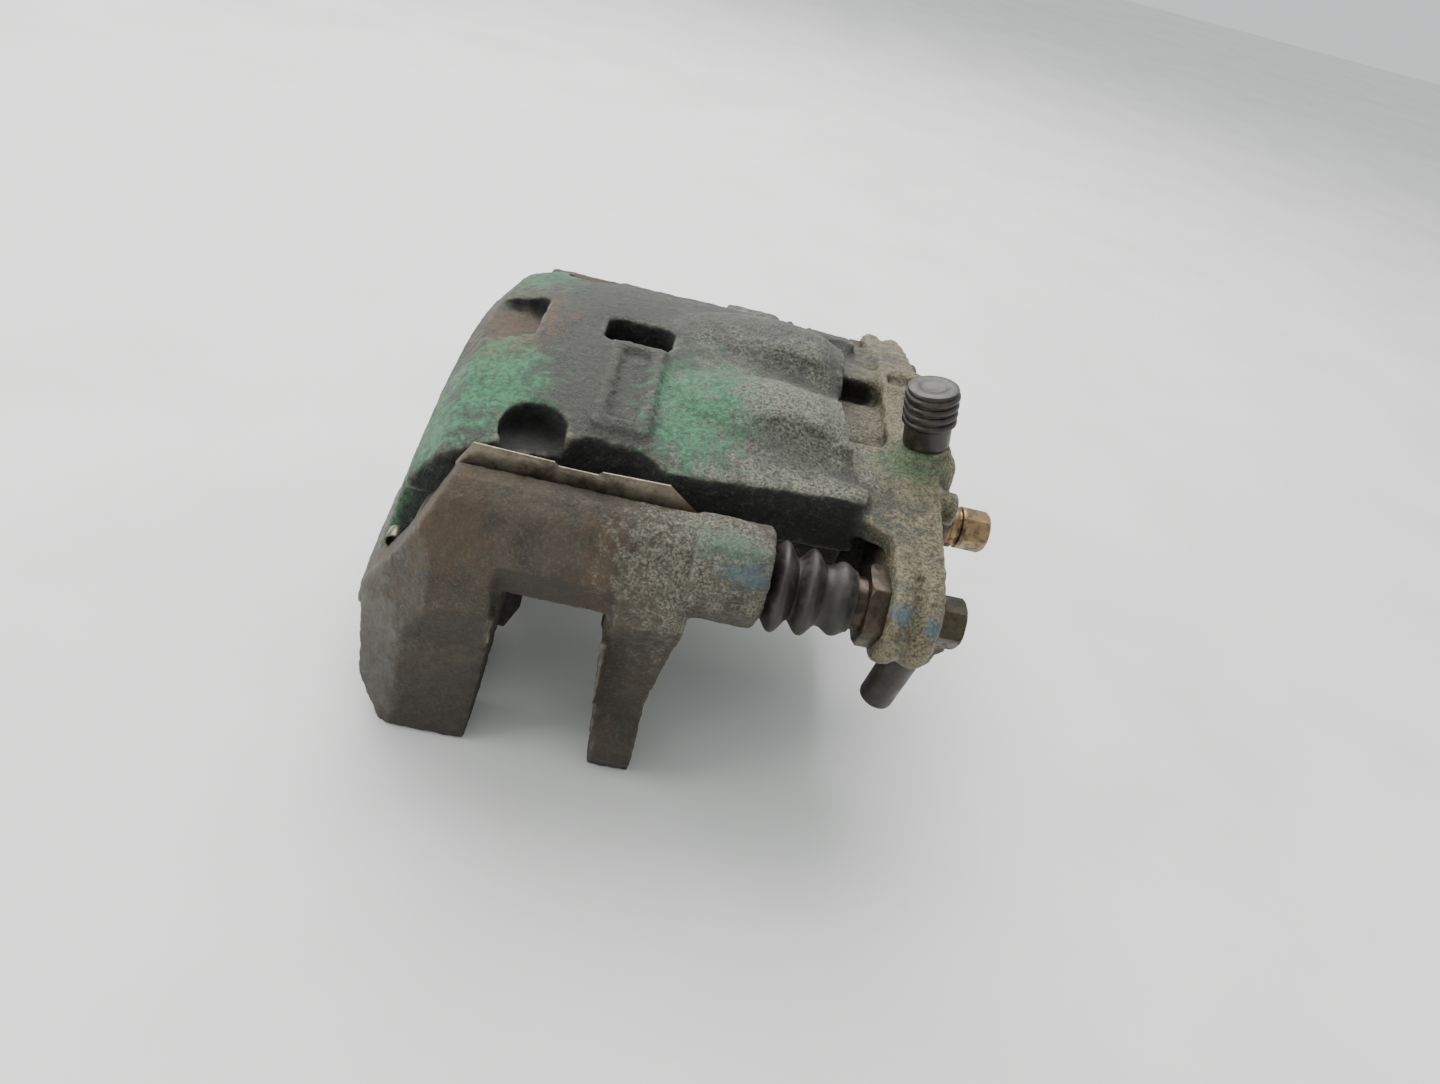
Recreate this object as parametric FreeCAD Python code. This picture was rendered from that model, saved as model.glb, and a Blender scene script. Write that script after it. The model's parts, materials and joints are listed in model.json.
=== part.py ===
import FreeCAD, Part
import math
import os

# Floating disc brake caliper on its carrier bracket, in millimetres.
# +X runs along the disc axis towards the vehicle, +Y along the disc's edge, +Z radially outwards.
# The origin is midway between the two knuckle bolt holes, on the carrier's mounting face.

V = FreeCAD.Vector

# ---- disc and layout ----
DISC_AXIS_Z = -78.0
DISC_X = -28.5
SLOT_HALF = 13.5
SLOT_R = 146.0
PIN_Y = 68.0
PIN_Z = 60.0
FOOT_Z = -14.0

# ---- carrier bracket ----
FRONT_Y = 80.0
BACK_Y = 61.8
ABUT_Y = 53.6
ABUT_TOP = 56.0
NOTCH_Y = 60.0
NOTCH_LOW, NOTCH_HIGH = 38.5, 50.5
NOTCH_X1 = 2.5
LEG_OUT_X = -80.0
FAR_BEAM_TOP = 70.0
BOSS_END_X = 22.5
BORE_END_X = -10.0
KNUCKLE_Y = 65.0
KNUCKLE_BOSS_R = 14.0
KNUCKLE_HOLE_R = 6.5
KNUCKLE_LEG_X = -12.0
# the tie bar outboard and the web inboard follow the disc inside the pads
TIE_R_IN, TIE_R_OUT = 76.0, 90.0
TIE_X0, TIE_X1 = -77.0, -64.0
TIE_HALF = 60.0
# how far a cutter or a keeping block reaches beyond the part
CLEAR = 100.0

# ---- guide pins ----
PIN_R = 5.0
PIN_BORE_R = 5.05
PIN_TIP_X = -8.0
HEX_X = 48.0
EAR_X = 53.0
EAR_BACK_X = 66.5
HEX_FLATS = 19.0
LUG_R = 14.0
BOLT_R = 3.95
BOLT_HEAD_FLATS = 12.0
WASHER_R = 8.2

# ---- housing ----
BRIDGE_R = 166.0
BRIDGE_IN_R = 149.0
FINGER_X = -57.1
FINGER_HALF = 50.0
FINGER_R = 98.0
CYL_Z = 42.0
CYL_R = 35.0
CYL_X0, CYL_X1 = 4.0, 64.0
SADDLE_X1 = 38.0
BORE_R = 25.55
BORE_BACK_X = 50.0
SEAL_X0, SEAL_X1, SEAL_R = 13.0, 17.0, 29.0
BOOT_RECESS_X, BOOT_RECESS_R = 10.0, 30.5
NIPPLE_BORE_R = 3.2
BLEED_X, BLEED_Y, BLEED_TOP = 62.0, 21.0, 84.5
PORT_Y, PORT_Z, PORT_X = -15.0, 56.0, 78.0
LOWER_X, LOWER_Y, LOWER_BOTTOM = 69.0, -55.0, 37.0
LOWER_TILT = 9.0
BLEED_LEAN = 12.0

# ---- piston and pads ----
PISTON_R = 25.5
PISTON_X0, PISTON_X1 = 0.1, 46.0
PAD_HALF = 52.4
PAD_R_IN, PAD_R_OUT = 98.0, 144.0
LINING_THICK = 10.0
PLATE_THICK = 5.5
SHIM_THICK = 0.7
PAD_GAP = 1.3
EAR_TIP_Y = 58.8
EAR_LOW, EAR_HIGH = 39.5, 49.5
CLIP = 0.5


def prism_x(points, x0, x1):
    """Solid with a (Y, Z) outline, drawn out along X."""
    wire = Part.makePolygon([V(x0, y, z) for y, z in points + points[:1]])
    return Part.Face(wire).extrude(V(x1 - x0, 0, 0))


def prism_y(points, y0, y1):
    """Solid with an (X, Z) outline, drawn out along Y."""
    wire = Part.makePolygon([V(x, y0, z) for x, z in points + points[:1]])
    return Part.Face(wire).extrude(V(0, y1 - y0, 0))


def prism_z(points, z0, z1):
    """Solid with an (X, Y) outline, drawn out along Z."""
    wire = Part.makePolygon([V(x, y, z0) for x, y in points + points[:1]])
    return Part.Face(wire).extrude(V(0, 0, z1 - z0))


def block(x0, x1, y0, y1, z0, z1):
    return Part.makeBox(x1 - x0, y1 - y0, z1 - z0, V(x0, y0, z0))


def rounded_slot(x0, x1, y0, y1, z0, z1, r):
    """Upright block with round corners."""
    body = block(x0, x1, y0, y1, z0, z1)
    upright = [e for e in body.Edges
               if abs(e.Vertexes[0].X - e.Vertexes[-1].X) + abs(e.Vertexes[0].Y - e.Vertexes[-1].Y) < 1e-6]
    return body.makeFillet(r, upright)


def rod(r, x0, x1, y, z):
    """Cylinder along X."""
    return Part.makeCylinder(r, x1 - x0, V(x0, y, z), V(1, 0, 0))


def post(r, x, y, z0, z1):
    """Cylinder along Z."""
    return Part.makeCylinder(r, z1 - z0, V(x, y, z0), V(0, 0, 1))


def tube(r_in, r_out, x0, x1, y, z):
    return rod(r_out, x0, x1, y, z).cut(rod(r_in, x0 - 1, x1 + 1, y, z))


def disc_rod(r, x0, x1):
    """Cylinder about the disc's own axis."""
    return rod(r, x0, x1, 0, DISC_AXIS_Z)


def disc_ring(r_in, r_out, x0, x1):
    return tube(r_in, r_out, x0, x1, 0, DISC_AXIS_Z)


def turned_x(profile, y, z):
    """Solid of revolution about a line along X, from (x, radius) points."""
    wire = Part.makePolygon([V(px, y, z + pr) for px, pr in profile + profile[:1]])
    return Part.Face(wire).revolve(V(0, y, z), V(1, 0, 0), 360)


def turned_z(profile, x, y):
    """Solid of revolution about a line along Z, from (radius, z) points."""
    wire = Part.makePolygon([V(x + pr, y, pz) for pr, pz in profile + profile[:1]])
    return Part.Face(wire).revolve(V(x, y, 0), V(0, 0, 1), 360)


def hex_points(flats):
    corner = flats / math.sqrt(3)
    return [(corner * math.cos(math.radians(60 * k)), corner * math.sin(math.radians(60 * k)))
            for k in range(6)]


def hex_x(flats, x0, x1, y, z):
    """Hexagonal bar along X, with two flats facing up and down."""
    return prism_x([(y + a, z + b) for a, b in hex_points(flats)], x0, x1)


def hex_z(flats, x, y, z0, z1):
    return prism_z([(x + a, y + b) for a, b in hex_points(flats)], z0, z1)


def fused(shapes):
    result = shapes[0].multiFuse(shapes[1:]) if len(shapes) > 1 else shapes[0]
    return result.removeSplitter()


def mirrored(shape):
    """The same shape on the other side of the middle plane."""
    return shape.mirror(V(0, 0, 0), V(0, 1, 0))


def leaned(shape):
    """Lean a shape of the upper bleed port outboard, about the seat of its nipple."""
    return shape.rotated(V(BLEED_X, -BLEED_Y, BLEED_TOP), V(0, 1, 0), -BLEED_LEAN)


def tilted(shape):
    """Lean a shape of the lower port outboard, about the seat of its nipple."""
    return shape.rotated(V(LOWER_X, LOWER_Y, LOWER_BOTTOM), V(0, 1, 0), LOWER_TILT)


def save(name, shape):
    shape.exportStep(os.path.join("parts", name + ".step"))


# ---------------------------------------------------------------- carrier bracket

def portal():
    """One end of the carrier: two legs joined by a beam that arches over the disc's edge."""
    front = [(-73, FOOT_Z), (LEG_OUT_X, -3), (LEG_OUT_X, 32), (-69, 50), (-63, 63), (-57, 75),
             (3, 75), (5, 70), (5, 46), (0, 16), (0, FOOT_Z), (KNUCKLE_LEG_X, FOOT_Z),
             (DISC_X + SLOT_HALF, 40), (DISC_X - SLOT_HALF, 40), (-48, FOOT_Z)]
    side = [(-FRONT_Y, 24), (-FRONT_Y, 57), (-74, 70), (-69.5, 73.5), (-63.5, 73.5), (-BACK_Y, 72),
            (-BACK_Y, ABUT_TOP), (-ABUT_Y, ABUT_TOP), (-ABUT_Y, 20), (-56, 4), (-57, FOOT_Z),
            (-73, FOOT_Z), (-77, -4)]
    shape = prism_y(front, -FRONT_Y, -ABUT_Y).common(prism_x(side, LEG_OUT_X, 5))
    corner = prism_z([(LEG_OUT_X - 1, -FRONT_Y - 1), (-58, -FRONT_Y - 1), (LEG_OUT_X - 1, -66)],
                     -CLEAR, CLEAR)
    # the beam is undercut, and both legs step back and lean in below it
    beam = prism_x([(-83, 57), (-FRONT_Y, 57), (-74.6, 39), (-83, 39)], -43.5, -13)
    outboard = prism_x([(-83, 38.5), (-FRONT_Y, 38.5), (-75.5, 25), (-73.5, -20), (-83, -20)],
                       LEG_OUT_X - 1, -43.5)
    inboard = prism_x([(-83, 46), (-FRONT_Y, 46), (-76.8, 38), (-74.4, -20), (-83, -20)], -13, 7)
    return shape.cut(corner).cut(beam).cut(outboard).cut(inboard)


def pin_boss():
    """Eight-sided boss that the guide pin slides in, flat below where it meets the leg."""
    outline = [(-12, -3), (-12, 8), (-7, 14), (4, 15), (11, 9), (11, -7), (4, -13), (-5, -12)]
    ring = [(-PIN_Y + a, PIN_Z + b) for a, b in outline]
    nose = [(-PIN_Y + 0.93 * a, PIN_Z + 0.93 * b) for a, b in outline]
    return prism_x(ring, 3, BOSS_END_X - 1.2).fuse(prism_x(nose, 3, BOSS_END_X))


def carrier_bracket():
    end = fused([portal(), pin_boss(),
                 rod(KNUCKLE_BOSS_R, KNUCKLE_LEG_X, 0, -KNUCKLE_Y, 0).common(
                     block(KNUCKLE_LEG_X, 0, -FRONT_Y, -ABUT_Y, FOOT_Z, KNUCKLE_BOSS_R))])
    end = end.cut(block(LEG_OUT_X - 1, NOTCH_X1, -NOTCH_Y, -ABUT_Y + 1, NOTCH_LOW, NOTCH_HIGH))
    end = end.cut(rod(PIN_BORE_R, BORE_END_X, BOSS_END_X + 1, -PIN_Y, PIN_Z))
    end = end.cut(rod(KNUCKLE_HOLE_R, DISC_X, 9, -KNUCKLE_Y, 0))
    tie = disc_ring(TIE_R_IN, TIE_R_OUT, TIE_X0, TIE_X1).common(
        block(TIE_X0, TIE_X1, -TIE_HALF, TIE_HALF, FOOT_Z + 3, CLEAR))
    web = disc_ring(TIE_R_IN, TIE_R_OUT, KNUCKLE_LEG_X, -2).common(
        block(KNUCKLE_LEG_X, -2, -TIE_HALF, TIE_HALF, FOOT_Z + 6, CLEAR))
    slot = disc_rod(SLOT_R, DISC_X - SLOT_HALF, DISC_X + SLOT_HALF)
    # the far beam is a little lower than the near one
    far = mirrored(end).cut(block(LEG_OUT_X - 1, BOSS_END_X + 1, 0, CLEAR, FAR_BEAM_TOP, CLEAR))
    return fused([end, far, tie, web]).cut(slot)


def sheet_strip(path, x0, x1):
    """Thin folded strip along X: each leg of its (Y, Z) path is a flat wall."""
    walls = []
    for (ya, za), (yb, zb) in zip(path, path[1:]):
        walls.append(block(x0, x1, min(ya, yb), max(ya, yb) + CLIP, min(za, zb), max(za, zb) + CLIP))
    return fused(walls)


def pad_clip():
    """Spring steel clip: a plate against the beam, with a folded liner for each pad's ear."""
    top = [(-59, 56.4), (-59, 72), (-55, 78.5), (-35, 78), (-34, 77), (-24, 77), (-23, 78), (-6, 78.5),
           (2, 72), (2, 56.4)]
    back = -BACK_Y + 0.15
    plate = prism_y(top, back, back + CLIP)
    plate = plate.cut(block(-42.5, -14.5, back - 1, back + 1, 50, 64))
    wall = -ABUT_Y + 0.05
    deep = -NOTCH_Y + 0.1
    path = [(back, 60), (back, ABUT_TOP + 0.1), (wall, ABUT_TOP + 0.1), (wall, NOTCH_HIGH - CLIP - 0.1),
            (deep, NOTCH_HIGH - CLIP - 0.1), (deep, NOTCH_LOW + 0.1), (wall, NOTCH_LOW + 0.1), (wall, 29)]
    outer = sheet_strip(path, -59, -43)
    inner = sheet_strip(path, -14, 2)
    tongue = block(-74, -58, deep + 0.2, wall - 1, NOTCH_LOW + 0.1, NOTCH_LOW + 0.1 + CLIP)
    roll_z = NOTCH_LOW + 0.1 + 2.4
    roll = Part.makeCylinder(2.4, 4.5, V(-74, deep + 0.4, roll_z), V(0, 1, 0))
    roll = roll.cut(Part.makeCylinder(2.4 - CLIP, 8, V(-74, deep - 1, roll_z), V(0, 1, 0)))
    roll = roll.cut(block(-74, -71, deep, wall, NOTCH_LOW + 0.2 + CLIP, roll_z))
    return fused([plate, outer, inner, tongue, roll])


# ---------------------------------------------------------------- guide pins

def guide_pin(y, tip_r, tip_len):
    """Sliding pin: shank, boot groove, hexagon flange and a tapped hole for its bolt."""
    shank = turned_x([(PIN_TIP_X, 0), (PIN_TIP_X, tip_r), (PIN_TIP_X + tip_len, tip_r),
                      (PIN_TIP_X + tip_len, PIN_R), (40.5, PIN_R), (40.5, PIN_R + 1.2), (43, PIN_R + 1.2),
                      (43, PIN_R), (45.5, PIN_R), (45.5, PIN_R + 2), (HEX_X, PIN_R + 2), (HEX_X, 0)],
                     y, PIN_Z)
    flange = hex_x(HEX_FLATS, HEX_X, EAR_X, y, PIN_Z)
    flange = flange.common(turned_x([(HEX_X, 0), (HEX_X, 9.9), (HEX_X + 0.9, 10.9), (EAR_X, 10.9),
                                     (EAR_X, 0)], y, PIN_Z))
    return fused([shank, flange]).cut(rod(BOLT_R + 0.05, 28, EAR_X + 1, y, PIN_Z))


def pin_bolt(y):
    head = hex_x(BOLT_HEAD_FLATS, EAR_BACK_X + 1.4, EAR_BACK_X + 8, y, PIN_Z)
    head = head.common(turned_x([(EAR_BACK_X, 0), (EAR_BACK_X, 8), (EAR_BACK_X + 6.8, 7.4),
                                 (EAR_BACK_X + 8, 6.2), (EAR_BACK_X + 8, 0)], y, PIN_Z))
    washer = rod(WASHER_R, EAR_BACK_X, EAR_BACK_X + 1.4, y, PIN_Z)
    return fused([head, washer, rod(BOLT_R, 32, EAR_BACK_X + 1, y, PIN_Z)])


def pin_boot(y):
    """Rubber bellows from the carrier's boss to the groove in the pin."""
    outer = [(0, 9.6), (1.6, 11.2), (3.5, 12.2), (5.8, 11.6), (7.4, 8.6), (8.2, 8.4), (9.4, 10.4),
             (10.8, 11.4), (12.6, 10.6), (14.0, 8.0), (15.2, 7.8), (16.2, 9.6), (22.2, 9.8), (22.8, 9.2)]
    inner = [(22.8, 6.3), (18.8, 6.3), (15.8, 6.4), (12.4, 9.0), (10.8, 9.8), (9.4, 8.8), (7.8, 7.0),
             (5.8, 10.0), (3.5, 10.6), (2.0, 9.6), (0, 6.6)]
    return turned_x([(BOSS_END_X + x, r) for x, r in outer + inner], y, PIN_Z)


# ---------------------------------------------------------------- housing

def plan_outline():
    """Top view of the bridge: wide at both ends and waisted over the disc."""
    near = [(-95, -60), (-62, -59.4), (-46, -55), (-28, -50), (-15, -50.5), (-7, -55.4), (0.5, -54.8),
            (25, -52), (SADDLE_X1 + 7, -50.5), (SADDLE_X1 + 8, -44), (SADDLE_X1 + 2, -30)]
    return near + [(SADDLE_X1, -14), (SADDLE_X1, 14)] + [(x, -y) for x, y in reversed(near)]


def bridge():
    """Arch over the disc, with the finger plate that presses the outboard pad."""
    profile = [(SADDLE_X1 + 9, BRIDGE_R - 1), (-30, BRIDGE_R), (-52, BRIDGE_R - 1), (-64, 161.5),
               (-71, 153), (-75.5, 138), (-82, 114), (-87, FINGER_R + 2), (-84, FINGER_R),
               (-64, FINGER_R), (FINGER_X, FINGER_R + 3),
               (FINGER_X, BRIDGE_IN_R - 3), (FINGER_X + 3, BRIDGE_IN_R), (CYL_X0, BRIDGE_IN_R),
               (CYL_X0, 122), (SADDLE_X1 + 9, 122)]
    arch = turned_x(profile, 0, DISC_AXIS_Z).common(prism_z(plan_outline(), -10, 120))
    for side in (-1, 1):
        outer, inner = sorted((side * FINGER_HALF, side * 80))
        low = block(-96, FINGER_X + 4, outer, inner, -20, 95).common(disc_rod(BRIDGE_IN_R, -96, -50))
        arch = arch.cut(low)
        outer, inner = sorted((side * 42, side * 80))
        wing = block(CYL_X0 - 1, 48, outer, inner, -20, 95).common(disc_rod(BRIDGE_IN_R, CYL_X0 - 1, 48))
        arch = arch.cut(wing)
    return arch


def finger_notch():
    """Open slot between the two fingers, round at its top."""
    return fused([block(-96, FINGER_X + 2, -11, 11, 0, 40), rod(11, -96, FINGER_X + 2, 0, 40)])


def panel_rim():
    """Raised rim round a blank label panel beside the window."""
    rim = block(-29.4, -14.4, -46.5, -10, 70, 95).cut(block(-26.4, -17.4, -43.5, -13, 60, 96))
    return rim.common(disc_rod(BRIDGE_R + 1.6, -40, 0))


def humps():
    """Two rounded humps that stiffen the bridge over the cylinder."""
    profile = [(-20, 0), (-19, 12), (-8, 19), (4, 21.5), (18, 22.5), (31, 21), (SADDLE_X1 + 1, 17),
               (SADDLE_X1 + 1, 0)]
    keep = block(-20, SADDLE_X1 + 1, -50, 50, 76, 95)
    return [turned_x(profile, -22, 68.5).common(keep), turned_x(profile, 14, 71).common(keep)]


def valleys():
    """Grooves along both sides of the humps and between them."""
    lean = V(44, 0, -8)
    grooves = [Part.makeCylinder(9, 60, V(-2, -4, 99), lean)]
    for y in (-40, 36):
        grooves.append(Part.makeCylinder(9, 60, V(-4, y, 96), lean))
    return grooves


def ear_plate():
    """Flange across the back of the cylinder that carries the two guide pins."""
    half = [(-PIN_Y, PIN_Z + LUG_R - 0.2), (-40, 79), (-24, 81)]
    low = [(-27, 22), (-50, 43), (-PIN_Y, PIN_Z - LUG_R + 0.2)]
    outline = half + [(-y, z) for y, z in reversed(half)] + [(-y, z) for y, z in reversed(low)] + low
    plate = prism_x(outline, EAR_X, EAR_BACK_X)
    parts = [plate]
    for side in (-1, 1):
        parts.append(turned_x([(EAR_X, 0), (EAR_X, 12.8), (EAR_X + 1.2, LUG_R), (57.6, LUG_R), (59, 12.3),
                               (60.6, 12.3), (62, 13.7), (65, 13.7), (EAR_BACK_X, 12.4), (EAR_BACK_X, 0)],
                              side * PIN_Y, PIN_Z))
        gusset = prism_z([(26, side * 20), (32, side * 37), (42, side * 50), (EAR_X, side * 57),
                          (EAR_X, side * 20)], 61, 80)
        slope = prism_x([(side * 20, 62), (side * 57, 70), (side * 57, 75), (side * 20, 80)], 26, EAR_X)
        parts.append(gusset.common(slope))
    return fused(parts)


def housing_bosses():
    """Bosses for the bleed screw, its unused twin, the hose port and the lower port."""
    parts = []
    for side in (-1, 1):
        parts.append(turned_z([(0, 55), (11.5, 55), (11.5, 72), (10.5, BLEED_TOP - 4),
                               (9, BLEED_TOP - 2.3), (0, BLEED_TOP - 2.3)], BLEED_X, side * BLEED_Y))
    parts.append(leaned(post(7.2, BLEED_X, -BLEED_Y, BLEED_TOP - 12, BLEED_TOP)))
    parts.append(turned_x([(55, 0), (55, 11), (70, 10), (PORT_X - 1, 9), (PORT_X, 8), (PORT_X, 0)],
                          PORT_Y, PORT_Z))
    low, high = LOWER_BOTTOM, LOWER_BOTTOM + 13
    parts.append(tilted(turned_z([(0, low), (6, low), (7, low + 1), (7, high), (0, high)],
                                 LOWER_X, LOWER_Y)))
    parts.append(block(EAR_BACK_X - 6, LOWER_X + 8, LOWER_Y - 6, LOWER_Y + 7, low + 6, high))
    parts.append(rod(4.5, 60, 73, -34, 73))
    return parts


def caliper_housing():
    body = [bridge(), panel_rim(), rod(CYL_R, CYL_X0, CYL_X1, 0, CYL_Z), ear_plate()]
    solid = fused(body + humps() + housing_bosses())
    cuts = valleys() + [finger_notch()]
    # window over the disc, and the shallow casting pockets beside it
    cuts.append(rounded_slot(-32.5, -13, -8, 7.5, 60, 95, 4))
    cuts.append(rounded_slot(-67, -51, -14, 13, 80.5, 95, 3))
    cuts.append(rounded_slot(BLEED_X - 7, BLEED_X + 5, BLEED_Y - 4, BLEED_Y + 4, BLEED_TOP - 5, 90, 1.5))
    for y in (-50, 50):
        cuts.append(post(8.5, -43, y, 74, 95))
    # bore, seal groove and dust boot recess
    cuts.append(turned_x([(CYL_X0 - 1, 0), (CYL_X0 - 1, BOOT_RECESS_R), (BOOT_RECESS_X, BOOT_RECESS_R),
                          (BOOT_RECESS_X, BORE_R), (SEAL_X0, BORE_R), (SEAL_X0, SEAL_R),
                          (SEAL_X1, SEAL_R), (SEAL_X1, BORE_R), (BORE_BACK_X, BORE_R),
                          (BORE_BACK_X, 0)], 0, CYL_Z))
    # fluid passages
    cuts.append(rod(BOLT_R + 0.05, BORE_BACK_X - 2, PORT_X + 1, PORT_Y, PORT_Z))
    cuts.append(leaned(post(NIPPLE_BORE_R, BLEED_X, -BLEED_Y, 55, BLEED_TOP + 1)))
    cuts.append(rod(2.0, BORE_BACK_X - 2, BLEED_X + 6, -BLEED_Y + 4, 57))
    cuts.append(tilted(post(NIPPLE_BORE_R, LOWER_X, LOWER_Y, LOWER_BOTTOM - 1, LOWER_BOTTOM + 12.5)))
    cuts.append(tilted(post(8.2, LOWER_X, LOWER_Y, LOWER_BOTTOM - 18, LOWER_BOTTOM)))
    for side in (-1, 1):
        cuts.append(rod(4.3, EAR_X - 1, EAR_BACK_X + 1, side * PIN_Y, PIN_Z))
    for cutter in cuts:
        solid = solid.cut(cutter)
    return solid.removeSplitter()


# ---------------------------------------------------------------- piston group

def piston():
    """Hollow cup, open towards the pad, with a groove for the dust boot."""
    return turned_x([(PISTON_X0, 19.5), (PISTON_X0, 24.7), (PISTON_X0 + 0.8, PISTON_R), (3, PISTON_R),
                     (3, 23.8), (6, 23.8), (6, PISTON_R), (PISTON_X1 - 1.5, PISTON_R), (PISTON_X1, 24),
                     (PISTON_X1, 0), (PISTON_X1 - 8, 0), (PISTON_X1 - 8, 17), (PISTON_X1 - 12, 19.5)],
                    0, CYL_Z)


def piston_seal():
    return tube(PISTON_R + 0.06, SEAL_R - 0.05, SEAL_X0 + 0.05, SEAL_X1 - 0.05, 0, CYL_Z)


def piston_dust_boot():
    """Rubber gaiter between the piston's groove and the mouth of the bore."""
    return turned_x([(3.3, 24.1), (5.7, 24.1), (5.7, 26.4), (7.6, 27.2), (7.6, 28.4), (9.8, 28.4),
                     (9.8, 30.2), (5.2, 30.2), (5.2, 28.9), (4.2, 28.2), (4.2, 26.6), (3.3, 26.2)],
                    0, CYL_Z)


# ---------------------------------------------------------------- hydraulic fittings

def bleed_screw(x, y, seat_z, way):
    """Nipple with a hexagon and a through bore; way is +1 upwards or -1 downwards."""
    stem = turned_z([(0, -12), (3.1, -10), (3.1, 0.4), (3.6, 0.4), (3.6, 6.4), (2.6, 6.8), (2.6, 9.2),
                     (3.3, 10), (3.3, 12.2), (2.5, 13), (0, 13)], 0, 0)
    body = fused([stem, hex_z(8.0, 0, 0, 0.4, 5.4)]).cut(post(0.9, 0, 0, -6, 14))
    if way < 0:
        body = body.mirror(V(0, 0, 0), V(0, 0, 1))
    body.translate(V(x, y, seat_z))
    return body


def ribbed_cap():
    """Rubber cap: plain skirt, then four ribs under a flat top."""
    z0 = BLEED_TOP + 0.3
    profile = [(5.2, z0), (6.4, z0), (6.6, z0 + 6.2)]
    for k in range(4):
        z = z0 + 6.6 + 2.5 * k
        profile += [(7.5, z), (7.6, z + 1.5), (6.7, z + 1.8), (6.7, z + 2.3)]
    profile += [(7.3, z0 + 16.8), (6.4, z0 + 17.6), (0, z0 + 17.6), (0, z0 + 13.6), (3.7, z0 + 13.6),
                (3.7, z0 + 8), (5.2, z0 + 7)]
    return turned_z(profile, BLEED_X, -BLEED_Y)


def lower_cap():
    z1 = LOWER_BOTTOM - 0.3
    profile = [(0, z1 - 19.6), (4.2, z1 - 19.6), (5.0, z1 - 18.8), (5.2, z1 - 1), (5.8, z1), (5.1, z1),
               (5.1, z1 - 6), (3.7, z1 - 7), (3.7, z1 - 13.6), (0, z1 - 13.6)]
    return turned_z(profile, LOWER_X, LOWER_Y)


def port_washer():
    return tube(4.1, 6.6, PORT_X, PORT_X + 1.2, PORT_Y, PORT_Z)


def hose_port_bolt():
    x = PORT_X + 1.2
    head = hex_x(11.0, x + 4.4, x + 12, PORT_Y, PORT_Z)
    head = head.common(turned_x([(x, 0), (x, 7), (x + 11, 6.3), (x + 12, 5.3), (x + 12, 0)],
                                PORT_Y, PORT_Z))
    collar = turned_x([(x, 0), (x, 6.6), (x + 1.6, 6.6), (x + 2, 5.2), (x + 3, 5.2), (x + 3.2, 6.4),
                       (x + 4.4, 6.4), (x + 4.4, 0)], PORT_Y, PORT_Z)
    return fused([rod(BOLT_R, PORT_X - 16, x + 1, PORT_Y, PORT_Z), collar, head])


# ---------------------------------------------------------------- brake pads

def sector(r_in, r_out, half, x0, x1):
    """Curved pad outline: a ring about the disc's axis, cut off square at its ends."""
    return disc_ring(r_in, r_out, x0, x1).common(block(x0, x1, -half, half, -20, 90))


def pad_set(face_x, way):
    """Lining, steel plate and shim of one pad; way is +1 inboard and -1 outboard of the disc."""
    stack = [face_x, face_x + way * LINING_THICK, face_x + way * (LINING_THICK + PLATE_THICK),
             face_x + way * (LINING_THICK + PLATE_THICK + SHIM_THICK)]
    spans = [sorted(pair) for pair in zip(stack, stack[1:])]
    (l0, l1), (p0, p1), (s0, s1) = spans
    lining = sector(PAD_R_IN + 3, PAD_R_OUT - 2.5, PAD_HALF - 3, l0, l1)
    lining = lining.cut(block(l0 - 1, l1 + 1, -1.5, 1.5, 0, 90).cut(block(p0 - 3, p1 + 3, -2, 2, 0, 90)))
    for side in (-1, 1):
        chamfer = prism_z([(face_x - way, side * (PAD_HALF + 1)), (face_x - way, side * (PAD_HALF - 11)),
                           (face_x + way * 5, side * (PAD_HALF + 1))], -20, 90)
        lining = lining.cut(chamfer)
    plate = fused([sector(PAD_R_IN, PAD_R_OUT, PAD_HALF, p0, p1),
                   block(p0, p1, -EAR_TIP_Y, EAR_TIP_Y, EAR_LOW, EAR_HIGH)])
    shim = sector(PAD_R_IN + 4, PAD_R_OUT - 1, PAD_HALF - 6, s0, s1)
    shim = shim.cut(fused([rod(8, s0 - 1, s1 + 1, -22, 38), rod(8, s0 - 1, s1 + 1, 22, 38)]))
    return lining, plate, shim


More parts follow.
